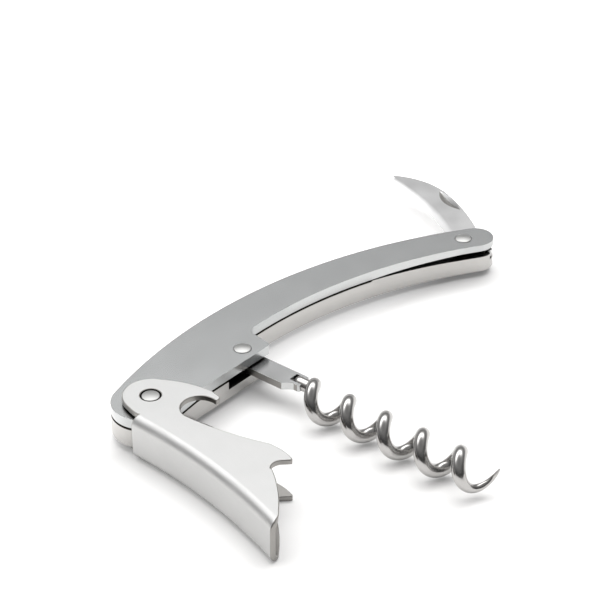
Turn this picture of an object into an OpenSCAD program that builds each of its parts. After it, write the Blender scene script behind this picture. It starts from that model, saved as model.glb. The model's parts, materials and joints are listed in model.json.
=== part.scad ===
// Waiter's corkscrew: a riveted two-plate handle with a folding lever, worm and foil knife.
// It lies on its side. Plan places are measured from the worm pivot, with +X along the handle
// towards the knife, +Y towards the handle's convex edge and +Z up through its thickness.

/* [Handle] */
// Thickness of each handle plate
plate_t = 2.3; // [2.2:0.05:2.4]
// Thickness of the spring core between the plates
core_t = 2.3; // [2.2:0.05:2.35]
// Slit between the core and the top plate, held open by a shim
slit = 0.3; // [0.3:0.05:0.4]
// Radius of the handle's convex edge
convex_r = 122.5; // [122.3:0.1:122.7]
// Radius of the concave recess that the worm folds into
concave_r = 109.1; // [109:0.1:109.2]
// Width of the knife spring, across the handle
spring_w = 1.7; // [1.6:0.05:1.7]
// Extra depth that is thinned from the top plate over the knife end of the spring
plate_relief = 0.65; // [0:0.05:0.8]
// Depth that is thinned from the spring towards the knife
spring_thinning = 0.7; // [0:0.05:0.8]

/* [Lever] */
// Thickness of the lever's sheet
sheet_t = 1.25; // [1.2:0.05:1.3]
// Gap between a lever flange and the handle plate under it
flange_gap = 0.45; // [0.45:0.05:0.5]
// Outside radius of the lever's folds
fold_r = 2.2; // [1.8:0.1:2.4]
// Radius of the lever's arched web, at its outer face
web_r = 135.3; // [135.2:0.1:135.4]

/* [Worm] */
// Diameter of the worm's wire
wire_d = 3; // [2.8:0.1:3]
// Radius of the helix, at the centre of the wire
helix_r = 3.05; // [3:0.05:3.1]
// Advance of the helix in one turn
helix_pitch = 9.6; // [9.4:0.1:9.7]
// Distance from the worm pivot to the sharp tip
worm_length = 67.4; // [66:0.2:67.6]

/* [Blade and shank] */
// Thickness of the knife blade and of the worm's shank
leaf_t = 1.7; // [1.6:0.05:1.7]
// Width of the shank
shank_w = 5.4; // [5.2:0.1:5.5]

/* [Rivets] */
// Shank radius of the worm and knife rivets
pin_r = 1.3; // [1.2:0.05:1.35]
// Shank radius of the lever rivet
lever_pin_r = 1.5; // [1.4:0.05:1.5]
// Head radius of the worm and knife rivets
head_r = 1.9; // [1.8:0.05:1.95]
// Height that those heads stand proud of the plates
head_rise = 0.35; // [0.2:0.05:0.35]

/* [Hidden] */
$fn = 72;

// Levels, from the floor up
handle_z = sheet_t + flange_gap;
core_z = handle_z + plate_t;
slit_z = core_z + core_t;
top_plate_z = slit_z + slit;
handle_top = top_plate_z + plate_t;
lever_h = handle_top + flange_gap + sheet_t;
slot_h = core_t + slit;
mid_z = core_z + slot_h / 2;
slip = 0.05;
running = 0.05;
washer_t = (slot_h - leaf_t) / 2 - slip;

// Moves the worm pivot so that the middle of the part's outline is at the origin
pivot_place = [-24.08, 15.25, 0];

// Plan places
lever_pivot = [-27.4, -1.5];
knife_pivot = [69.4, -1.5];
dowel_place = [16, 10.5];
convex_centre = [15.4, -107];
concave_centre = [20.4, -103.7];

// Round ends of the handle, each tangent to the convex edge
lever_end_r = 7.3;
lever_end_angle = 112.2;
knife_end_r = 4.05;
knife_end_angle = 61.3;
function end_centre(r, angle) = convex_centre + (convex_r - r) * [cos(angle), sin(angle)];
lever_end_centre = end_centre(lever_end_r, lever_end_angle);
knife_end_centre = end_centre(knife_end_r, knife_end_angle);

// Worm recess and its inner corner
recess_x = 5.7;
recess_corner_r = 2.2;
recess_corner = [recess_x + recess_corner_r, 2.5];

// Pocket for the worm's shank and slot for the knife, both in the core
pocket_x = -8;
pocket_y = 3.9;
pocket_lean = 0.4;
blade_slot_end = [27, 5];
blade_slot_lean = 3;
spring_end_x = 73;
thinning_from = 43;
thinning_to = 66;

// Dowel that keeps the core from turning about the lever rivet
dowel_r = 1;
dowel_depth = 1;
dowel_slack = 0.2;

// Cut sizes that only have to be large enough
far = 200;
margin = 1;

// Points of an arc, from angle a to angle b
function arc(centre, r, a, b, steps = 8) =
    [for (i = [0:steps]) centre + r * [cos(a + (b - a) * i / steps), sin(a + (b - a) * i / steps)]];

module from_worm_pivot() {
    translate(pivot_place) children();
}

module slab(z, height) {
    translate([0, 0, z]) linear_extrude(height) children();
}

module bore(place, r) {
    translate([place.x, place.y, -margin]) cylinder(r = r, h = far / 4);
}

module washer(place, z, height, outer_r, inner_r) {
    difference() {
        translate([place.x, place.y, z]) cylinder(r = outer_r, h = height);
        bore(place, inner_r);
    }
}

// Handle

// Space that the folded worm lies in: an arched edge with a rounded inner corner
module worm_recess() {
    intersection() {
        translate(concave_centre) circle(r = concave_r, $fn = 360);
        translate([recess_corner.x, -far / 2]) square([knife_end_centre.x - recess_corner.x, far]);
    }
    translate([recess_x, recess_corner.y - far]) square([recess_corner_r + margin, far]);
    translate(recess_corner) circle(r = recess_corner_r);
}

module handle_outline() {
    lobe_corner_r = 1.1;
    lobe_y = -3.1;
    below = -12;
    beyond = 20;
    lever_out = [cos(lever_end_angle), sin(lever_end_angle)];
    knife_out = [cos(knife_end_angle), sin(knife_end_angle)];
    difference() {
        union() {
            intersection() {
                translate(convex_centre) circle(r = convex_r, $fn = 360);
                polygon(concat(
                    [lever_end_centre, lever_end_centre + beyond * lever_out],
                    [knife_end_centre + beyond * knife_out, knife_end_centre - beyond * knife_out],
                    [[recess_x + margin, below], [recess_x, lobe_y + 2 * lobe_corner_r]],
                    arc([recess_x - lobe_corner_r, lobe_y + lobe_corner_r], lobe_corner_r, 0, -84),
                    [[-18, -5.45], lever_end_centre + lever_end_r * [cos(280), sin(280)]]
                ));
            }
            translate(lever_end_centre) circle(r = lever_end_r);
            translate(knife_end_centre) circle(r = knife_end_r);
        }
        worm_recess();
    }
}

// Wedge that thins a layer towards the knife, from nothing to its full depth
module thinning_wedge(z, depth) {
    translate([0, far / 2, z]) rotate([90, 0, 0]) linear_extrude(far)
        polygon([[thinning_from, 0], [thinning_to, depth], [far / 2, depth], [far / 2, 0]]);
}

module plate(z) {
    difference() {
        slab(z, plate_t) handle_outline();
        bore(lever_pivot, lever_pin_r);
        bore([0, 0], pin_r);
        bore(knife_pivot, pin_r);
    }
}

// Shallow seat for a rivet head in a plate's outer face
module head_seat(place, z) {
    rim_clearance = 0.15;
    translate([place.x, place.y, z]) cylinder(r = head_r + rim_clearance, h = head_rise + margin);
}

module dowel_hole(z) {
    translate([dowel_place.x, dowel_place.y, z]) cylinder(r = dowel_r, h = dowel_depth + dowel_slack);
}

module top_plate() {
    relief_w = 3.2;
    color("darkgray") from_worm_pivot() difference() {
        plate(top_plate_z);
        head_seat([0, 0], handle_top - head_rise);
        head_seat(knife_pivot, handle_top - head_rise);
        dowel_hole(top_plate_z);
        intersection() {
            thinning_wedge(top_plate_z, plate_relief);
            translate([concave_centre.x, concave_centre.y, 0])
                cylinder(r = concave_r + relief_w, h = far / 4, $fn = 360);
        }
    }
}

module bottom_plate() {
    color("lightgray") from_worm_pivot() difference() {
        plate(handle_z);
        head_seat([0, 0], handle_z - margin);
        head_seat(knife_pivot, handle_z - margin);
        dowel_hole(core_z - dowel_depth - dowel_slack);
    }
}

// Pocket that the worm's shank turns in, open towards the worm
module shank_pocket() {
    polygon([
        [pocket_x - pocket_lean, -far / 2],
        [pocket_x, pocket_y],
        [recess_corner.x, pocket_y],
        [recess_corner.x, -far / 2]
    ]);
}

// Slot that the knife closes into, which leaves the spring along the concave edge
module blade_slot() {
    half_h = 15;
    difference() {
        translate(blade_slot_end) polygon([
            [-blade_slot_lean, -half_h],
            [blade_slot_lean, half_h],
            [far, half_h],
            [far, -half_h]
        ]);
        translate(concave_centre) circle(r = concave_r + spring_w, $fn = 360);
    }
}

// One piece: a block at the lever end, a bridge over the shank pocket and the knife's spring
module spring_core() {
    color("silver") from_worm_pivot() difference() {
        slab(core_z, core_t) difference() {
            handle_outline();
            shank_pocket();
            blade_slot();
            translate([spring_end_x, -far / 2]) square(far);
        }
        bore(lever_pivot, lever_pin_r);
        bore(dowel_place, dowel_r);
        mirror([0, 0, 1]) thinning_wedge(-slit_z, spring_thinning);
    }
}

module core_dowel() {
    dowel_length = slot_h + 2 * dowel_depth;
    color("gray") from_worm_pivot()
        translate([dowel_place.x, dowel_place.y, mid_z - dowel_length / 2])
            cylinder(r = dowel_r, h = dowel_length);
}

module core_shim() {
    shim_r = 3.2;
    color("silver") from_worm_pivot() washer(lever_pivot, slit_z, slit, shim_r, lever_pin_r);
}

// Lever

// U-section of the folded sheet, with x as the distance from the web's centre of arch
module lever_section() {
    inner_r = fold_r - sheet_t;
    flange_reach = 30;
    difference() {
        union() {
            translate([web_r + fold_r, 0]) square([flange_reach, lever_h]);
            translate([web_r, fold_r]) square([flange_reach, lever_h - 2 * fold_r]);
            for (z = [fold_r, lever_h - fold_r]) translate([web_r + fold_r, z]) circle(r = fold_r);
        }
        translate([web_r + fold_r, sheet_t]) square([flange_reach, lever_h - 2 * sheet_t]);
        translate([web_r + sheet_t, fold_r]) square([flange_reach, lever_h - 2 * fold_r]);
        for (z = [fold_r, lever_h - fold_r]) translate([web_r + fold_r, z]) circle(r = inner_r);
    }
}

// Flange outline: pivot ear, cap lifter hook, long edge, rim claw and slanted end
module lever_outline() {
    web_top = -5.1;
    toe_y = -50.5;
    polygon(concat(
        [[-33.86, -3.4]],
        arc(lever_pivot, 6.1, 170, 31, 16),
        arc([-40.4, -13.7], 23.8, 39, 10),
        arc([-18.05, -11.6], 0.95, 20, -100),
        arc([-22.8, -12], 4.1, -6, 172, 14),
        arc([42, 0], 70, 190, 206),
        arc([-34.25, -34.7], 14, 15, -13.5),
        arc([-21.15, -37.95], 0.5, -10, -120, 4),
        arc([-24.3, -39.1], 2.4, 50, 140),
        arc([-64, -17.7], 43, -28.4, -48.5),
        [[-37, toe_y], [-45, toe_y], [-45, web_top], [-33.8, web_top]]
    ));
}

module lever() {
    web_centre = [-170.2, -21.1];
    seat_r = 2.25;
    seat_depth = 0.53;
    color("gainsboro") from_worm_pivot() difference() {
        intersection() {
            translate([web_centre.x, web_centre.y, 0]) rotate([0, 0, -15])
                rotate_extrude(angle = 27, $fn = 360) lever_section();
            slab(0, lever_h) lever_outline();
        }
        bore(lever_pivot, lever_pin_r + running);
        for (z = [seat_depth - margin, lever_h - seat_depth])
            translate([lever_pivot.x, lever_pivot.y, z]) cylinder(r = seat_r, h = margin);
    }
}

module lever_washer(z) {
    lever_washer_r = 3;
    color("silver") from_worm_pivot()
        washer(lever_pivot, z, flange_gap - slip, lever_washer_r, lever_pin_r);
}

module lever_washer_upper() {
    lever_washer(handle_top);
}

module lever_washer_lower() {
    lever_washer(sheet_t + slip);
}

// Rivets

// Low domed head that stands on its seat
module rivet_head(r, seat, rise) {
    dome_r = (r * r + rise * rise) / (2 * rise);
    intersection() {
        cylinder(r = r, h = seat + rise);
        translate([0, 0, seat + rise - dome_r]) sphere(r = dome_r, $fn = 180);
    }
}

module rivet(place, low, high, shank_r, r, seat, rise) {
    translate([place.x, place.y, 0]) {
        translate([0, 0, low]) cylinder(r = shank_r, h = high - low);
        translate([0, 0, high]) rivet_head(r, seat, rise);
        translate([0, 0, low]) mirror([0, 0, 1]) rivet_head(r, seat, rise);
    }
}

module plate_rivet(place) {
    rivet(place, handle_z + head_rise, handle_top - head_rise, pin_r, head_r, head_rise, head_rise);
}

module worm_rivet() {
    color("whitesmoke") from_worm_pivot() plate_rivet([0, 0]);
}

module knife_rivet() {
    color("whitesmoke") from_worm_pivot() plate_rivet(knife_pivot);
}

module lever_rivet() {
    seat = 0.3;
    rise = 0.2;
    lever_head_r = 2;
    color("whitesmoke") from_worm_pivot()
        rivet(lever_pivot, seat + rise, lever_h - seat - rise, lever_pin_r, lever_head_r, seat, rise);
}

// Worm

// Direction of the worm from its pivot, and the sideways places of its shank and wire
worm_angle = -82;
shank_side = 0.85;
stub_side = 1.65;
neck_at = 12.5;
shank_end = 16.2;
stub_at = 13.4;
helix_at = 18.4;

// Turns the worm's own frame, x along it and y to its knife side, to its place in the part
module along_worm() {
    from_worm_pivot() rotate([0, 0, worm_angle]) children();
}

module shank_outline() {
    half_w = shank_w / 2;
    neck_side = shank_side - 0.9;
    polygon(concat(
        arc([0, shank_side], half_w, 90, 270, 16),
        [[neck_at, shank_side - half_w]],
        [[neck_at + 1.4, neck_side - 0.7], [neck_at + 2.2, neck_side - 0.3]],
        arc([shank_end - 0.5, neck_side + 0.2], 0.5, -90, 0, 3),
        arc([shank_end - 0.8, shank_side + half_w - 0.8], 0.8, 0, 90, 4)
    ));
}

module worm_shank() {
    hole_beyond_stub = 0.4;
    color("lightgray") along_worm() difference() {
        slab(mid_z - leaf_t / 2, leaf_t) shank_outline();
        bore([0, 0], pin_r + running);
        translate([stub_at - hole_beyond_stub, stub_side, mid_z]) rotate([0, 90, 0])
            cylinder(r = wire_d / 2, h = far / 4);
    }
}

// Wire: a straight stub in the shank, a right-handed helix and a drawn-out point
wire_sides = 12;
rings_per_turn = 20;
stub_rings = 5;
helix_turns = (worm_length - helix_at) / helix_pitch;
helix_rings = ceil(helix_turns * rings_per_turn);
point_turns = 0.65;
tip_r = 0.12;

function helix_angle(s) = max(0, s - helix_at) / helix_pitch * 360;
function helix_point(s) = [
    s,
    stub_side - helix_r + helix_r * cos(helix_angle(s)),
    mid_z + helix_r * sin(helix_angle(s))
];

// Full radius down to the point, which then draws in along a round-backed curve
function wire_radius(s) =
    let (
        left = max(0, min(1, (worm_length - s) / (helix_pitch * point_turns))),
        fullness = sqrt(left) * (0.4 + 0.6 * left)
    )
    tip_r + (wire_d / 2 - tip_r) * fullness;
function wire_place(i) =
    i < stub_rings ? stub_at + (helix_at - stub_at) * i / stub_rings
                   : helix_at + (worm_length - helix_at) * (i - stub_rings) / helix_rings;
function unit(v) = v / norm(v);
function wire_ring(i) =
    let (
        s = wire_place(i),
        ahead = unit(helix_point(s + 0.01) - helix_point(s - 0.01)),
        out = unit([0, cos(helix_angle(s)), sin(helix_angle(s))]),
        side = unit(cross(ahead, out)),
        normal = cross(side, ahead)
    )
    [for (a = [0:360 / wire_sides:359])
        helix_point(s) + wire_radius(s) * (cos(a) * normal + sin(a) * side)];

module worm_wire() {
    last = stub_rings + helix_rings;
    n = wire_sides;
    points = [for (i = [0:last]) each wire_ring(i)];
    walls = [for (i = [0:last - 1], k = [0:n - 1])
        let (a = i * n + k, b = i * n + (k + 1) % n)
        each [[a, b, b + n], [a, b + n, a + n]]];
    first_cap = [for (k = [0:n - 1]) n - 1 - k];
    last_cap = [for (k = [0:n - 1]) last * n + k];
    color("white") along_worm() polyhedron(points, concat([first_cap, last_cap], walls), convexity = 10);
}

// Thin washer between a leaf and a plate
module leaf_washer(place, z) {
    leaf_washer_r = 2.4;
    color("silver") from_worm_pivot() washer(place, z, washer_t, leaf_washer_r, pin_r);
}

module worm_washer_upper() {
    leaf_washer([0, 0], top_plate_z - washer_t);
}

module worm_washer_lower() {
    leaf_washer([0, 0], core_z);
}

// Knife

// Places on the blade are measured from the knife's pivot. Its edge is an arc that the bevel follows.
edge_centre = [-56.9, 40.8];
edge_r = 68;
bevel_w = 1.9;
edge_flat = 0.12;

// Stock left past the edge, which the bevel cuts away
edge_stock = 0.1;

// Outline: pivot disc, kick that stops on the spring's end, spine, point, edge and root
module blade_outline() {
    polygon(concat(
        arc([0, 0], 2.25, 160, 262, 12),
        [[3.9, -3.8], [3.9, -4.7]],
        arc([4.5, -4.5], 0.6, 200, 320, 4),
        [[6.3, -1.8], [7.6, 0.8]],
        arc([-50.7, 40.4], 70, -31.5, -18.5),
        arc([-1.1, 25.2], 18, -21, 44, 12),
        arc(edge_centre, edge_r - edge_stock, -3.4, -27.5, 12),
        [[1.9, 7.2]]
    ));
}

// Space around the edge's V-shaped ground bevel
module edge_bevel() {
    face = leaf_t / 2;
    clear = face + margin;
    flat = edge_flat / 2;
    translate([edge_centre.x, edge_centre.y, 0]) rotate([0, 0, -29])
        rotate_extrude(angle = 35, $fn = 360)
            polygon([
                [edge_r - margin, -clear],
                [edge_r + bevel_w, -clear],
                [edge_r + bevel_w, -face],
                [edge_r, -flat],
                [edge_r, flat],
                [edge_r + bevel_w, face],
                [edge_r + bevel_w, clear],
                [edge_r - margin, clear]
            ]);
}

// Nick near the spine for a fingernail, cut by the V-shaped rim of a disc that stands on edge.
// Its floor slopes down towards the spine and its wall there is steeper.
module nail_nick() {
    nick_middle = [14.4, 17.8, leaf_t / 2];
    chord_angle = 73.2;
    depth = 0.6;
    half_chord = 5.1;
    floor_w = 1.9;
    wall_w = 0.75;
    overcut = 2;
    disc_r = (half_chord * half_chord + depth * depth) / (2 * depth);
    rim_r = disc_r - overcut * depth;
    translate(nick_middle) rotate([0, 0, chord_angle])
        translate([0, 0, disc_r - depth]) rotate([90, 0, 0])
            rotate_extrude($fn = 360) polygon([
                [0, overcut * wall_w],
                [0, -overcut * floor_w],
                [rim_r, -overcut * floor_w],
                [disc_r, 0],
                [rim_r, overcut * wall_w]
            ]);
}

module knife_blade() {
    color("gainsboro") from_worm_pivot() translate([knife_pivot.x, knife_pivot.y, mid_z])
        difference() {
            slab(-leaf_t / 2, leaf_t) blade_outline();
            bore([0, 0], pin_r + running);
            edge_bevel();
            nail_nick();
        }
}

module knife_washer_upper() {
    leaf_washer(knife_pivot, top_plate_z - washer_t);
}

module knife_washer_lower() {
    leaf_washer(knife_pivot, core_z);
}

top_plate();
bottom_plate();
spring_core();
core_dowel();
core_shim();
lever();
lever_rivet();
lever_washer_upper();
lever_washer_lower();
worm_shank();
worm_wire();
worm_rivet();
worm_washer_upper();
worm_washer_lower();
knife_blade();
knife_rivet();
knife_washer_upper();
knife_washer_lower();
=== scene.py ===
# A waiter's corkscrew of satin and polished steel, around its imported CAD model. Plan places are in
# millimetres from the worm's pivot, with x along the handle towards the knife and y towards the
# handle's convex edge, as in the CAD model.

import json
import math

import bmesh
import bpy
from mathutils import Matrix, Vector


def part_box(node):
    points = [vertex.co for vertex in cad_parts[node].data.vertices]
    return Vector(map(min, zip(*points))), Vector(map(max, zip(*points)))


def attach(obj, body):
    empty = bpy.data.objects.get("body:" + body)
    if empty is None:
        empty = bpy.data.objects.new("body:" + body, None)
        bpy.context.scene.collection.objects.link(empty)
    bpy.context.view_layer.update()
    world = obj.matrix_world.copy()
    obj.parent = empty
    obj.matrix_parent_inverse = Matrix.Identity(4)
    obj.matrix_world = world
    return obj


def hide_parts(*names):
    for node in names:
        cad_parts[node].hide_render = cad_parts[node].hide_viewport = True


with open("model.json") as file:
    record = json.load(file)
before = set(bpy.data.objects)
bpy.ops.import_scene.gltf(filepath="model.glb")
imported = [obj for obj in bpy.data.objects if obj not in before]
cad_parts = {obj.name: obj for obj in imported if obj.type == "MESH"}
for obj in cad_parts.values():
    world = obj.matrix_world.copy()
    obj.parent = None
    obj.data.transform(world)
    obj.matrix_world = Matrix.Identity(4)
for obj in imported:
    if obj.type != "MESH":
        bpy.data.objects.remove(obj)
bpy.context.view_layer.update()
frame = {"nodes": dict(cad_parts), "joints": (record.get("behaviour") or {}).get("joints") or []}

MM = 0.001
PIVOTS = {joint["name"]: Vector(joint["pos_m"]) for joint in frame["joints"]}
WORM_PIVOT = PIVOTS["worm_pivot"]
MID_Z = WORM_PIVOT.z / MM
PLATE_LOW, PLATE_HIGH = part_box("top_plate")
LEVER_LOW, LEVER_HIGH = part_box("lever")
WIRE_LOW, WIRE_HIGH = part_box("worm_wire")
WORM_ANGLE = math.radians(-82)

# A face turned by more than this from its neighbour, in degrees, meets it at a sharp corner
CORNER = 35


# Geometry helpers


def place(x, y, z):
    """Point in the part's frame, in metres, from plan millimetres."""
    return Vector((WORM_PIVOT.x + x * MM, WORM_PIVOT.y + y * MM, z * MM))


def arc(centre, radius, start, end, steps=8):
    """Plan points of an arc between two angles in degrees."""
    points = []
    for i in range(steps + 1):
        a = math.radians(start + (end - start) * i / steps)
        points.append((centre[0] + radius * math.cos(a), centre[1] + radius * math.sin(a)))
    return points


def new_object(name, bm):
    mesh = bpy.data.meshes.new(name)
    bm.normal_update()
    bm.to_mesh(mesh)
    bm.free()
    obj = bpy.data.objects.new(name, mesh)
    bpy.context.scene.collection.objects.link(obj)
    return obj


def soften(obj, corner=CORNER):
    """Smooth shading, with the corners above an angle in degrees kept sharp."""
    obj.data.shade_smooth()
    obj.data.set_sharp_from_angle(angle=math.radians(corner))
    return obj


# Upright parts of a unit normal, for telling level faces, upright walls and slopes apart
LEVEL_FROM = 0.9999
UPRIGHT_TO = 0.001
STEEP_FROM = 0.7


def smooth_plate(obj, corner=CORNER):
    """Smooth shading that keeps a plate's level faces and upright walls true, and marks its eased edges
    for painting lighter.
    """
    mesh = soften(obj, corner).data
    level, upright = set(), set()
    for polygon in mesh.polygons:
        if abs(polygon.normal.z) > LEVEL_FROM:
            level.update(polygon.vertices)
        elif abs(polygon.normal.z) < UPRIGHT_TO:
            upright.update(polygon.vertices)
    normals = []
    for loop, split in zip(mesh.loops, mesh.corner_normals):
        normal = split.vector.copy()
        if loop.vertex_index in level and abs(normal.z) > STEEP_FROM:
            normal = Vector((0, 0, math.copysign(1, normal.z)))
        elif loop.vertex_index in upright and abs(normal.z) < STEEP_FROM:
            normal.z = 0
            normal.normalize()
        normals.append(normal)
    mesh.normals_split_custom_set(normals)
    worn_and_highlit = mesh.attributes.new("worn_and_highlit", "FLOAT", "POINT")
    for i, value in enumerate(worn_and_highlit.data):
        value.value = 0.0 if i in level or i in upright else 1.0
    return obj


def settle(obj):
    """Makes the result of the modifiers the object's own mesh."""
    shape = obj.evaluated_get(bpy.context.evaluated_depsgraph_get())
    mesh = bpy.data.meshes.new_from_object(shape)
    obj.modifiers.clear()
    obj.data = mesh
    return obj


def finish_piece(obj, body, slot, materials, *replaced):
    """Gives a piece its materials and its body, and hides the CAD nodes that it stands in for. The slot
    is not used.
    """
    if not obj.data.materials:
        for material in materials:
            obj.data.materials.append(material)
    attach(obj, body)
    if replaced:
        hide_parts(*replaced)
    return obj


# Materials

# Scales of the noises, per metre, and the range that their values mostly fill
GRAIN_SCALE = 5200
CLOUD_SCALE = 130
SPECKLE_SCALE = 2600
NOISE_RANGE = (0.3, 0.7)

SMOOTHEST = 0.04
# Light colour painted on eased edges: partly rubbing of the steel, partly a painted highlight
WORN_AND_HIGHLIT_COLOR = (0.9, 0.9, 0.89, 1)
# Near-black of the painted shade in crevices, gaps and contacts with other parts
CREVICE_SHADE_COLOR = (0.02, 0.018, 0.015, 1)
CREVICE_REACH = 5 * MM
CREVICE_SAMPLES = 6
BUMP_STRENGTH = 0.25
BUMP_DEPTH = 0.02 * MM
GRAIN_HEIGHT = 12

# Stretch of a grain that runs up and down the walls
UPRIGHT_GRAIN = (1.0, 1.0, 12.0)


def math_node(tree, operation, a, b):
    node = tree.nodes.new("ShaderNodeMath")
    node.operation = operation
    for socket, value in zip(node.inputs, (a, b)):
        if isinstance(value, (int, float)):
            socket.default_value = value
        else:
            tree.links.new(value, socket)
    return node.outputs[0]


def mapped(tree, value, low, high, source=(0.0, 1.0)):
    """A value that is taken from its source range to low..high."""
    node = tree.nodes.new("ShaderNodeMapRange")
    node.inputs["From Min"].default_value = source[0]
    node.inputs["From Max"].default_value = source[1]
    node.inputs["To Min"].default_value = low
    node.inputs["To Max"].default_value = high
    tree.links.new(value, node.inputs["Value"])
    return node.outputs["Result"]


def noise(tree, coordinates, scale, detail=3.0, stretch=(1.0, 1.0, 1.0), turn=0.0):
    """Noise at a scale per metre, stretched along the axes of a frame that is turned in plan."""
    mapping = tree.nodes.new("ShaderNodeMapping")
    mapping.vector_type = "TEXTURE"
    mapping.inputs["Rotation"].default_value = (0, 0, math.radians(turn))
    mapping.inputs["Scale"].default_value = stretch
    tree.links.new(coordinates, mapping.inputs["Vector"])
    texture = tree.nodes.new("ShaderNodeTexNoise")
    texture.inputs["Scale"].default_value = scale
    texture.inputs["Detail"].default_value = detail
    tree.links.new(mapping.outputs["Vector"], texture.inputs["Vector"])
    return texture.outputs["Fac"]


def steel(
    name, color, roughness, grain=0.0, grain_turn=0.0, grain_stretch=(30.0, 1.0, 1.0),
    speckle=0.0, cloud=0.03, edge_wear_and_highlight=0.0, crevice_shade_range=(0.2, 0.5),
):
    """Steel with a directional grain, a fine speckle, clouds, edges painted light as rubbing and as a
    painted highlight, and painted shade in its crevices.
    """
    material = bpy.data.materials.new(name)
    material.use_nodes = True
    tree = material.node_tree
    shader = tree.nodes["Principled BSDF"]
    shader.inputs["Metallic"].default_value = 1.0
    coordinates = tree.nodes.new("ShaderNodeTexCoord").outputs["Object"]

    grain_value = noise(tree, coordinates, GRAIN_SCALE, 2.0, grain_stretch, grain_turn)
    cloud_value = noise(tree, coordinates, CLOUD_SCALE, 4.0)
    speckle_value = noise(tree, coordinates, SPECKLE_SCALE, 3.0)

    rough = mapped(tree, cloud_value, roughness - cloud, roughness + cloud, NOISE_RANGE)
    rough = math_node(tree, "ADD", rough, mapped(tree, grain_value, -grain, grain, NOISE_RANGE))
    rough = math_node(tree, "MAXIMUM", rough, SMOOTHEST)
    tree.links.new(rough, shader.inputs["Roughness"])

    shades = tree.nodes.new("ShaderNodeMix")
    shades.data_type = "RGBA"
    shades.inputs["A"].default_value = (*[c * (1 - cloud) for c in color], 1)
    shades.inputs["B"].default_value = (*[c * (1 + cloud) for c in color], 1)
    tree.links.new(mapped(tree, cloud_value, 0, 1, NOISE_RANGE), shades.inputs["Factor"])
    base = shades.outputs["Result"]
    # Marked edges are painted lighter: partly rubbing, partly a painted highlight along the eased edges
    if edge_wear_and_highlight:
        marks = tree.nodes.new("ShaderNodeAttribute")
        marks.attribute_name = "worn_and_highlit"
        edge = math_node(tree, "MULTIPLY", marks.outputs["Fac"], edge_wear_and_highlight)
        worn_and_highlit = tree.nodes.new("ShaderNodeMix")
        worn_and_highlit.data_type = "RGBA"
        worn_and_highlit.inputs["B"].default_value = WORN_AND_HIGHLIT_COLOR
        tree.links.new(edge, worn_and_highlit.inputs["Factor"])
        tree.links.new(base, worn_and_highlit.inputs["A"])
        base = worn_and_highlit.outputs["Result"]
    # Painted shade: the colour darkens towards near-black where ambient occlusion finds crevices, gaps
    # and nearby parts
    crevice = tree.nodes.new("ShaderNodeAmbientOcclusion")
    crevice.samples = CREVICE_SAMPLES
    crevice.inputs["Distance"].default_value = CREVICE_REACH
    tree.links.new(base, crevice.inputs["Color"])
    crevice_shade = tree.nodes.new("ShaderNodeMix")
    crevice_shade.data_type = "RGBA"
    crevice_shade.inputs["A"].default_value = CREVICE_SHADE_COLOR
    tree.links.new(mapped(tree, crevice.outputs["AO"], 0, 1, crevice_shade_range), crevice_shade.inputs["Factor"])
    tree.links.new(base, crevice_shade.inputs["B"])
    tree.links.new(crevice_shade.outputs["Result"], shader.inputs["Base Color"])

    if grain or speckle:
        height = math_node(tree, "MULTIPLY", grain_value, GRAIN_HEIGHT * grain)
        height = math_node(tree, "ADD", height, math_node(tree, "MULTIPLY", speckle_value, speckle))
        bump = tree.nodes.new("ShaderNodeBump")
        bump.inputs["Strength"].default_value = BUMP_STRENGTH
        bump.inputs["Distance"].default_value = BUMP_DEPTH
        tree.links.new(height, bump.inputs["Height"])
        tree.links.new(bump.outputs["Normal"], shader.inputs["Normal"])
    return material


PLATE = steel(
    "Satin plate", (0.53, 0.54, 0.54), 0.26, grain=0.002, grain_turn=8, cloud=0.008, edge_wear_and_highlight=0.15)
CORE = steel(
    "Ground core", (0.54, 0.53, 0.515), 0.34, grain=0.03, grain_stretch=UPRIGHT_GRAIN, crevice_shade_range=(0.3, 0.6))
LEVER = steel(
    "Satin lever", (0.62, 0.62, 0.615), 0.50, grain=0.02, grain_turn=80, speckle=0.5, cloud=0.04)
BLADE = steel("Satin blade", (0.68, 0.68, 0.68), 0.32, grain=0.003, grain_turn=70, crevice_shade_range=(0.4, 0.9))
SHANK = steel(
    "Satin shank", (0.57, 0.575, 0.575), 0.22, grain=0.004, grain_turn=-82, edge_wear_and_highlight=1.0, crevice_shade_range=(0.3, 0.7))
WIRE = steel("Polished wire", (0.49, 0.48, 0.47), 0.18, cloud=0.02)
RIVET = steel("Satin rivet", (0.46, 0.46, 0.45), 0.38, cloud=0.05, speckle=0.3, crevice_shade_range=(0.4, 0.9))
INNER = steel("Dull steel", (0.42, 0.42, 0.41), 0.42, grain=0.03)
# Darker steel: partly the finish of the lever's sheared rims, partly painted shade on the lever's
# inside, the shank's long sides and the nail nick
SHEARED_AND_SHADED = steel("Sheared edge and painted shade", (0.33, 0.32, 0.305), 0.36, grain=0.02, grain_stretch=UPRIGHT_GRAIN)
# Near-black painted shade for the slot between the top plate and the core
SLOT_SHADE = steel("Painted slot shade", (0.04, 0.036, 0.03), 0.5, speckle=0.5)


# Pieces that keep the CAD model's shape, with their edges eased

# Points this close, in millimetres, are one, and faces this near to flat, in degrees, are one
JOIN_WITHIN = 0.001
FLAT_WITHIN = 0.3

# Distances from a rivet's axis, in millimetres, within which edges are left sharp
RIVET_SURROUND = 3.0
BORE_SURROUND = 1.5

# Widths of the eased edges, in millimetres
TOP_PLATE_EASE = 0.12
BOTTOM_PLATE_EASE = 0.15
SLOT_SHADE_W = 0.28
SHANK_EASE = 0.25
BLADE_EASE = 0.1
RIM_W = 1.6
EASE_SEGMENTS = 2

# The top plate's rim is rounded by this share of its full width, and fully beyond the ramp
RIM_SHARE = 0.27
RIM_RAMP_X = -22
RIM_RAMP_LENGTH = 8


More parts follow.
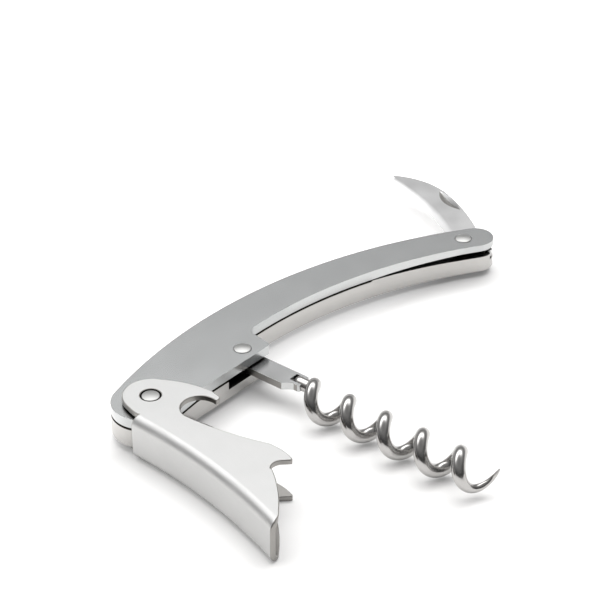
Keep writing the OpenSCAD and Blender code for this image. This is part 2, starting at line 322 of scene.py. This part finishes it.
def cad_copy(node):
    """The CAD node's mesh, joined up, with its flat faces made whole."""
    source = frame["nodes"][node].data
    bm = bmesh.new()
    verts = [bm.verts.new(vertex.co) for vertex in source.vertices]
    for polygon in source.polygons:
        bm.faces.new([verts[i] for i in polygon.vertices])
    bmesh.ops.remove_doubles(bm, verts=bm.verts, dist=JOIN_WITHIN * MM)
    bmesh.ops.dissolve_limit(
        bm, angle_limit=math.radians(FLAT_WITHIN), verts=bm.verts, edges=bm.edges)
    return bm


def near_pivot(point, reach):
    """Whether a point is within some millimetres of a rivet's axis, in plan."""
    return any((point.xy - pivot.xy).length < reach * MM for pivot in PIVOTS.values())


def sharp_edges(bm, chosen):
    """Edges at sharp corners that the test picks."""
    return [
        edge for edge in bm.edges
        if edge.is_manifold and edge.calc_face_angle(0) > math.radians(CORNER) and chosen(edge)
    ]


def ease(bm, width, chosen, material=-1):
    """Rounds the sharp edges that the test picks."""
    bmesh.ops.bevel(
        bm, geom=sharp_edges(bm, chosen), offset=width * MM, segments=EASE_SEGMENTS, profile=0.5,
        affect="EDGES", offset_type="OFFSET", clamp_overlap=True, material=material,
    )


def on_level(z, apart=0.02):
    """Test for an edge that lies at a height, in metres, and isn't round a rivet."""
    def test(edge):
        a, b = (vertex.co for vertex in edge.verts)
        level = abs(a.z - z) < apart * MM and abs(b.z - z) < apart * MM
        return level and not near_pivot(a, RIVET_SURROUND)
    return test


def make_top_plate():
    """The rim is rounded a little all round, and more where the lever swings over it."""
    bm = cad_copy("top_plate")
    ease(bm, TOP_PLATE_EASE, on_level(PLATE_LOW.z))
    weight = bm.edges.layers.float.new("bevel_weight_edge")
    for edge in sharp_edges(bm, on_level(PLATE_HIGH.z)):
        x = ((edge.verts[0].co.x + edge.verts[1].co.x) / 2 - WORM_PIVOT.x) / MM
        along_ramp = min(1, max(0, (RIM_RAMP_X - x) / RIM_RAMP_LENGTH))
        edge[weight] = RIM_SHARE + (1 - RIM_SHARE) * along_ramp
    obj = new_object("Top_plate", bm)
    rim = obj.modifiers.new("Rounded rim", "BEVEL")
    rim.width = RIM_W * MM
    rim.segments = 5
    rim.limit_method = "WEIGHT"
    return finish_piece(smooth_plate(settle(obj)), "handle", "plate_steel", [PLATE], "top_plate")


def make_bottom_plate():
    """The lower plate, ground like the core above it."""
    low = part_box("bottom_plate")[0]
    bm = cad_copy("bottom_plate")
    ease(bm, BOTTOM_PLATE_EASE, on_level(low.z))
    obj = smooth_plate(new_object("Bottom_plate", bm))
    return finish_piece(obj, "handle", "plate_steel", [CORE], "bottom_plate")


def make_core():
    """The middle layer, whose eased upper edge is painted near-black along the seam, as painted shade
    of the slot under the top plate.
    """
    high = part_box("spring_core")[1]
    bm = cad_copy("spring_core")
    ease(bm, SLOT_SHADE_W, on_level(high.z), 1)
    obj = smooth_plate(new_object("Spring_core", bm))
    return finish_piece(obj, "handle", "core_steel", [CORE, SLOT_SHADE], "spring_core")


def make_shank():
    """A satin leaf whose long sides take the darker steel as painted shade, and whose eased edges are
    painted bright, as rubbing and as a painted highlight.
    """
    squarely = 0.97
    bm = cad_copy("worm_shank")
    bm.normal_update()
    across = Vector((-math.sin(WORM_ANGLE), math.cos(WORM_ANGLE), 0))
    # Both long sides take the darker steel: painted shade
    for face in bm.faces:
        if abs(face.normal.dot(across)) > squarely:
            face.material_index = 1
    ease(bm, SHANK_EASE, lambda edge: not near_pivot(edge.verts[0].co, BORE_SURROUND), 0)
    obj = smooth_plate(new_object("Worm_shank", bm))
    return finish_piece(obj, "worm", "shank_steel", [SHANK, SHEARED_AND_SHADED], "worm_shank")


def make_blade():
    """A satin blade, whose nail nick takes the darker, slightly rougher steel as painted shade on its
    floor and on the wall by the cutting edge.
    """
    bm = cad_copy("knife_blade")
    bm.normal_update()
    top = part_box("knife_blade")[1].z
    middle = MID_Z * MM
    nick_from, nick_to = middle + 0.15 * MM, top - 0.12 * MM
    lean = 0.1
    # Painted shade: the nick's upward faces, all but the spine-side wall, take the darker steel
    for face in bm.faces:
        in_nick = nick_from < min(vertex.co.z for vertex in face.verts) < nick_to
        if in_nick and face.normal.x > -lean and face.normal.z > lean:
            face.material_index = 1
    near_face = (top - middle) * 0.9

    def on_faces(edge):
        return all(
            abs(v.co.z - middle) > near_face and not near_pivot(v.co, BORE_SURROUND)
            for v in edge.verts)

    ease(bm, BLADE_EASE, on_faces)
    bevel_corner = 9
    obj = smooth_plate(new_object("Knife_blade", bm), bevel_corner)
    return finish_piece(obj, "knife", "blade_steel", [BLADE, SHEARED_AND_SHADED], "knife_blade")


# Lever: one sheet, folded to a U round an arched web. Its sizes are the CAD model's, but the seats of
# the rivet's heads go right through the sheet here, with the washers under them.

WEB_CENTRE = (-170.2, -21.1)
WEB_R = 135.3
FOLD_R = 2.2
SHEET_T = 1.25
WEB_TOP_Y = -5.1
TOE_Y = -50.5
HEAD_SEAT_R = 2.25
HEAD_SEAT_SIDES = 48
SHEARED_EASE = 0.22

# The toe's corner is cut off on a slant from here on
TOE_CUT_X = -37
TOE_CUT_SLOPE = 0.4

# Width of the strip between a fold and the flange's flat face, and how far short of the web's ends
# that strip stops
STRIP_W = 0.6
STRIP_INSET = 1.2


def web_point(radius, y):
    """Plan point at a distance from the web's centre of arch, at a given y."""
    return (WEB_CENTRE[0] + math.sqrt(radius ** 2 - (y - WEB_CENTRE[1]) ** 2), y)


def toe_end(radius):
    """Where a row of the sheet meets the toe, whose corner is cut off on a slant."""
    x = web_point(radius, TOE_Y)[0]
    return TOE_Y + TOE_CUT_SLOPE * max(0, x - TOE_CUT_X)


def web_angle(point):
    """Direction of a plan point from the web's centre of arch, in radians."""
    return math.atan2(point[1] - WEB_CENTRE[1], point[0] - WEB_CENTRE[0])


def flange_edge():
    """Flange outline from the top of the fold, round the ear, hook, notch and claw, to the toe."""
    ear = [(-33.8, WEB_TOP_Y + 0.4), (-33.86, -3.4), *arc((-27.4, -1.5), 6.1, 170, 31, 24)]
    hook = arc((-40.4, -13.7), 23.8, 39, 10) + arc((-18.05, -11.6), 0.95, 20, -100)
    notch = arc((-22.8, -12), 4.1, -6, 172, 24)
    long_edge = arc((42, 0), 70, 190, 206, 10)
    claw = arc((-34.25, -34.7), 14, 15, -13.5, 10) + arc((-21.15, -37.95), 0.5, -10, -120, 4)
    throat = arc((-24.3, -39.1), 2.4, 50, 140)
    slant = arc((-64, -17.7), 43, -28.4, -48.5, 12)
    return ear + hook + notch + long_edge + claw + throat + slant


def fill(bm, loops):
    """Flat faces inside an outer loop of vertices and outside the other loops."""
    edges = []
    for loop in loops:
        for a, b in zip(loop, loop[1:] + loop[:1]):
            edges.append(bm.edges.get((a, b)) or bm.edges.new((a, b)))
    bmesh.ops.triangle_fill(bm, use_beauty=True, use_dissolve=False, edges=edges)


def lever_sheet():
    """Outer surface of the folded sheet: two flanges, two folds and the web between them."""
    height = (LEVER_HIGH.z - LEVER_LOW.z) / MM
    along, fold_steps, web_steps = 56, 8, 6
    profile = []
    for i in range(fold_steps + 1):
        a = math.radians(90 * i / fold_steps)
        profile.append((WEB_R + FOLD_R - FOLD_R * math.sin(a), height - FOLD_R + FOLD_R * math.cos(a)))
    for i in range(1, web_steps):
        profile.append((WEB_R, height - FOLD_R - (height - 2 * FOLD_R) * i / web_steps))
    profile += [(radius, height - z) for radius, z in reversed(profile[:fold_steps + 1])]

    bm = bmesh.new()
    rows = []
    strip_r = WEB_R + FOLD_R + STRIP_W
    for radius, z in [(strip_r, height), *profile, (strip_r, 0)]:
        inset = STRIP_INSET if radius == strip_r else 0
        start = web_angle(web_point(radius, WEB_TOP_Y - inset))
        end = web_angle(web_point(radius, toe_end(radius) + inset))
        row = []
        for k in range(along + 1):
            a = start + (end - start) * k / along
            x = WEB_CENTRE[0] + radius * math.cos(a)
            y = WEB_CENTRE[1] + radius * math.sin(a)
            row.append(bm.verts.new(place(x, y, z)))
        rows.append(row)
    for upper, lower in zip(rows, rows[1:]):
        for k in range(along):
            bm.faces.new((upper[k], lower[k], lower[k + 1], upper[k + 1]))
    pivot = (PIVOTS["lever_pivot"] - WORM_PIVOT) / MM
    last_angle = 360 - 360 / HEAD_SEAT_SIDES
    seat = arc(pivot, HEAD_SEAT_R, 0, last_angle, HEAD_SEAT_SIDES - 1)
    for inner, fold_line, z in ((rows[0], rows[1], height), (rows[-1], rows[-2], 0)):
        rim = [bm.verts.new(place(x, y, z)) for x, y in flange_edge()]
        hole = [bm.verts.new(place(x, y, z)) for x, y in seat]
        fill(bm, [[fold_line[0]] + rim + [fold_line[-1]] + inner[::-1], hole])
    bmesh.ops.recalc_face_normals(bm, faces=bm.faces)
    return bm


def make_lever():
    """The sheet is thickened inwards. Its inside takes the darker steel as painted shade, and its
    sheared, eased edges take it as their darker finish and as a painted dark outline.
    """
    obj = new_object("Lever", lever_sheet())
    inward = obj.modifiers.new("Sheet", "SOLIDIFY")
    inward.thickness = SHEET_T * MM
    inward.offset = -1
    inward.use_even_offset = True
    # The inside takes the darker steel as painted shade, and the sheared rim takes it as a darker
    # finish
    inward.material_offset = 1
    inward.material_offset_rim = 1
    eased = obj.modifiers.new("Eased edges", "BEVEL")
    eased.width = SHEARED_EASE * MM
    eased.segments = 3
    eased.limit_method = "ANGLE"
    eased.angle_limit = math.radians(50)
    eased.material = 1
    eased.use_clamp_overlap = False
    for material in (LEVER, SHEARED_AND_SHADED):
        obj.data.materials.append(material)
    settle(obj)
    # The easing of a tight corner would otherwise stand a little above the sheet
    for vertex in obj.data.vertices:
        vertex.co.z = min(vertex.co.z, LEVER_HIGH.z)
    return finish_piece(smooth_plate(obj), "lever", "lever_steel", [LEVER, SHEARED_AND_SHADED], "lever")


# Worm: a straight stub, a right-handed helix and a drawn-out point

HELIX_R = 3.05
HELIX_PITCH = 9.6
STUB_SIDE = 1.65
STUB_AT = 13.4
HELIX_AT = 18.4
WORM_LENGTH = 67.4
POINT_TURNS = 0.65
TIP_R = 0.12
TANGENT_STEP = 0.01


def wire_angle(s):
    """How far the helix has turned, in radians, at a distance from the worm's pivot."""
    return max(0, s - HELIX_AT) / HELIX_PITCH * 2 * math.pi


def wire_centre(s):
    """Point on the wire's centre line in the worm's own frame: x along it, y to its knife side."""
    a = wire_angle(s)
    return Vector((s, STUB_SIDE - HELIX_R + HELIX_R * math.cos(a), MID_Z + HELIX_R * math.sin(a)))


def wire_radius(s):
    """Radius of the wire: a round end on the stub, and the CAD model's drawn-out point."""
    full = (WIRE_HIGH.z - WIRE_LOW.z) / MM / 2 - HELIX_R
    least_square = 0.01
    if s < STUB_AT + full:
        return math.sqrt(max(least_square, full ** 2 - (STUB_AT + full - s) ** 2))
    left = min(1, max(0, (WORM_LENGTH - s) / (HELIX_PITCH * POINT_TURNS)))
    return TIP_R + (full - TIP_R) * math.sqrt(left) * (0.4 + 0.6 * left)


def make_wire():
    sides, stub_rings, helix_rings = 36, 12, 420
    turn = Matrix.Rotation(WORM_ANGLE, 3, "Z")
    stations = [STUB_AT + (HELIX_AT - STUB_AT) * i / stub_rings for i in range(stub_rings)]
    stations += [HELIX_AT + (WORM_LENGTH - HELIX_AT) * i / helix_rings for i in range(helix_rings + 1)]
    bm = bmesh.new()
    rings = []
    for s in stations:
        centre = wire_centre(s)
        ahead = (wire_centre(s + TANGENT_STEP) - wire_centre(s - TANGENT_STEP)).normalized()
        a = wire_angle(s)
        side = ahead.cross(Vector((0, math.cos(a), math.sin(a)))).normalized()
        normal = side.cross(ahead)
        ring = []
        for k in range(sides):
            b = 2 * math.pi * k / sides
            spot = turn @ (centre + wire_radius(s) * (math.cos(b) * normal + math.sin(b) * side))
            ring.append(bm.verts.new(place(*spot)))
        rings.append(ring)
    for one, two in zip(rings, rings[1:]):
        for k in range(sides):
            bm.faces.new((one[k], one[(k + 1) % sides], two[(k + 1) % sides], two[k]))
    bm.faces.new(rings[0][::-1])
    bm.faces.new(rings[-1])
    return finish_piece(soften(new_object("Worm_wire", bm)), "worm", "worm_steel", [WIRE], "worm_wire")


# Rivets, turned round their own axes


def lathe(name, axis, profile, sides=72):
    """Closed solid of revolution from (radius, height) points in millimetres, top to bottom."""
    bm = bmesh.new()
    rings = []
    for radius, z in profile:
        if radius == 0:
            rings.append([bm.verts.new((axis.x, axis.y, z * MM))])
            continue
        ring = []
        for k in range(sides):
            a = 2 * math.pi * k / sides
            ring.append(bm.verts.new((
                axis.x + radius * MM * math.cos(a), axis.y + radius * MM * math.sin(a), z * MM)))
        rings.append(ring)
    for one, two in zip(rings, rings[1:]):
        for k in range(sides):
            n = (k + 1) % sides
            if len(one) == 1:
                bm.faces.new((one[0], two[k], two[n]))
            elif len(two) == 1:
                bm.faces.new((one[k], two[0], one[n]))
            else:
                bm.faces.new((one[k], two[k], two[n], one[n]))
    bmesh.ops.recalc_face_normals(bm, faces=bm.faces)
    return new_object(name, bm)


def make_rivet(name, node, pivot, rise, seat, shank_r, spread=0.0):
    """A shank with a low domed head at both ends, each with an eased rim.

    The head is wider than the CAD node's by the spread, so that it fills its seat.
    """
    dome_share, dome_steps, rim_steps, rim_depth = 0.82, 9, 5, 0.4
    low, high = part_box(node)
    top = high.z / MM
    head_r = (high.x - low.x) / MM / 2 + spread
    dome_r = (head_r ** 2 + rise ** 2) / (2 * rise)
    rim = dome_share * head_r
    profile = []
    for i in range(dome_steps + 1):
        r = rim * i / dome_steps
        profile.append((r, top - dome_r + math.sqrt(dome_r ** 2 - r ** 2)))
    drop = profile[-1][1]
    edge = top - rise - seat * rim_depth
    for i in range(1, rim_steps + 1):
        a = math.radians(90 * i / rim_steps)
        profile.append((rim + (head_r - rim) * math.sin(a), edge + (drop - edge) * math.cos(a)))
    profile += [(head_r, top - rise - seat), (shank_r, top - rise - seat)]
    middle = (low.z + high.z) / 2 / MM
    profile += [(r, 2 * middle - z) for r, z in reversed(profile)]
    obj = soften(lathe(name, PIVOTS[pivot], profile))
    return finish_piece(obj, "handle", "rivet_steel", [RIVET], node)


make_top_plate()
make_bottom_plate()
make_core()
make_shank()
make_blade()
make_lever()
make_wire()
make_rivet("Lever_rivet", "lever_rivet", "lever_pivot", 0.16, 0.3, 1.5)
make_rivet("Worm_rivet", "worm_rivet", "worm_pivot", 0.25, 0.45, 1.3, 0.12)
make_rivet("Knife_rivet", "knife_rivet", "knife_pivot", 0.25, 0.45, 1.3, 0.12)

# The CAD nodes that no piece stands in for: the hidden washers, shim and dowel
for obj in frame["nodes"].values():
    if not obj.hide_render:
        obj.data.materials.clear()
        obj.data.materials.append(INNER)


# Floor, light and camera

# Half the floor's side, in metres, and its drop below the corkscrew, in millimetres. Then its glow in
# front of the worm's pivot and behind it, and the strip where it grows.
FLOOR_HALF = 3
FLOOR_DROP = 0.02
FRONT_GLOW = 0.15
BACK_GLOW = 0.45
GLOW_FROM = WORM_PIVOT.y - 2 * MM
GLOW_TO = WORM_PIVOT.y + 8 * MM


def make_floor():
    """White paper just under the corkscrew, which glows as painted light enough to burn out to white, a
    little in front of the worm's pivot and more behind it, where the glow washes out cast shadows.
    White paper just under the corkscrew, which glows enough to burn out to the photo's white.
    """
    bm = bmesh.new()
    bmesh.ops.create_grid(bm, x_segments=1, y_segments=1, size=FLOOR_HALF)
    floor = new_object("Floor", bm)
    floor.location.z = -FLOOR_DROP * MM
    paper = bpy.data.materials.new("White paper")
    paper.use_nodes = True
    shader = paper.node_tree.nodes["Principled BSDF"]
    shader.inputs["Base Color"].default_value = (0.80, 0.795, 0.79, 1)
    shader.inputs["Roughness"].default_value = 0.9
    shader.inputs["Specular IOR Level"].default_value = 0.1
    shader.inputs["Emission Color"].default_value = (1, 1, 1, 1)
    tree = paper.node_tree
    split = tree.nodes.new("ShaderNodeSeparateXYZ")
    tree.links.new(tree.nodes.new("ShaderNodeTexCoord").outputs["Object"], split.inputs[0])
    glow = mapped(tree, split.outputs["Y"], FRONT_GLOW, BACK_GLOW, (GLOW_FROM, GLOW_TO))
    tree.links.new(glow, shader.inputs["Emission Strength"])
    floor.data.materials.append(paper)


# (height, light) stops of each part of the studio, with the horizon at height 0 and the zenith at 1
CEILING = ((0.0, 0.03), (0.2, 0.10), (0.42, 0.33), (0.57, 0.46), (0.72, 0.7), (0.84, 0.7), (1.0, 0.5))
SWEEP = ((0.0, 0.9), (0.1, 0.8), (0.3, 0.0))
WINDOW = ((0.62, 0.0), (0.72, 2.1), (0.86, 3.8), (0.95, 1.0), (1.0, 0.0))

# Direction in plan, roughly away from the camera, that the studio is brightest towards
BRIGHT_WAY = (0.45, 0.89, 0)


def sky(tree, height, stops):
    """Light at each height of a direction, from (height, light) stops."""
    ramp = tree.nodes.new("ShaderNodeValToRGB")
    elements = ramp.color_ramp.elements
    while len(elements) < len(stops):
        elements.new(0.5)
    for element, (position, light) in zip(elements, stops):
        element.position = position
        element.color = (light, light, light, 1)
    tree.links.new(height, ramp.inputs["Fac"])
    return ramp.outputs["Color"]


def make_world():
    """White to the camera; a ceiling, a low sweep and a window to everything else."""
    world = bpy.data.worlds.new("Studio")
    bpy.context.scene.world = world
    world.use_nodes = True
    tree = world.node_tree
    direction = tree.nodes.new("ShaderNodeTexCoord").outputs["Generated"]
    split = tree.nodes.new("ShaderNodeSeparateXYZ")
    tree.links.new(direction, split.inputs[0])
    toward = tree.nodes.new("ShaderNodeVectorMath")
    toward.operation = "DOT_PRODUCT"
    toward.inputs[1].default_value = BRIGHT_WAY
    tree.links.new(direction, toward.inputs[0])
    room = 0.0
    for stops, dimmest, reach in (
        (CEILING, 0.42, (-0.5, 0.55)),
        (SWEEP, 0.05, (-0.5, 0.55)),
        (WINDOW, 0.0, (0.0, 0.45)),
    ):
        light = sky(tree, split.outputs["Z"], stops)
        side = mapped(tree, toward.outputs["Value"], dimmest, 1.0, reach)
        room = math_node(tree, "ADD", room, math_node(tree, "MULTIPLY", light, side))
    path = tree.nodes.new("ShaderNodeLightPath")
    mix = tree.nodes.new("ShaderNodeMix")
    tree.links.new(path.outputs["Is Camera Ray"], mix.inputs["Factor"])
    tree.links.new(room, mix.inputs["A"])
    mix.inputs["B"].default_value = 1.0
    tree.links.new(mix.outputs["Result"], tree.nodes["Background"].inputs["Color"])


def softbox(name, position, size, power, color=(1, 1, 1)):
    """Soft light on the corkscrew from a place in metres. It isn't seen in reflections."""
    light = bpy.data.lights.new(name, "AREA")
    light.shape = "RECTANGLE"
    light.size, light.size_y = size
    light.energy = power
    light.color = color
    obj = bpy.data.objects.new(name, light)
    bpy.context.scene.collection.objects.link(obj)
    obj.location = position
    obj.visible_glossy = False
    obj.rotation_mode = "QUATERNION"
    obj.rotation_quaternion = (-Vector(position)).to_track_quat("-Z", "Y")


def make_camera():
    """The photo's angle: down across the lever, towards the handle and the knife."""
    camera = bpy.data.cameras.new("Camera")
    camera.sensor_width = 36
    camera.lens = 123.9
    camera.clip_start, camera.clip_end = 0.01, 20
    obj = bpy.data.objects.new("Camera", camera)
    bpy.context.scene.collection.objects.link(obj)
    obj.location = place(-252.2, -286.5, 268)
    obj.rotation_euler = (math.radians(57), 0, math.radians(-43.42))
    bpy.context.scene.camera = obj


make_floor()
make_world()
softbox("Key", (0.48, 0.0, 1.52), (1.8, 1.8), 18.0)
softbox("Left", (-1.1, 0.6, 0.8), (1.2, 0.8), 7.0, (1, 0.99, 0.97))
make_camera()
bpy.context.scene.view_settings.view_transform = "Standard"
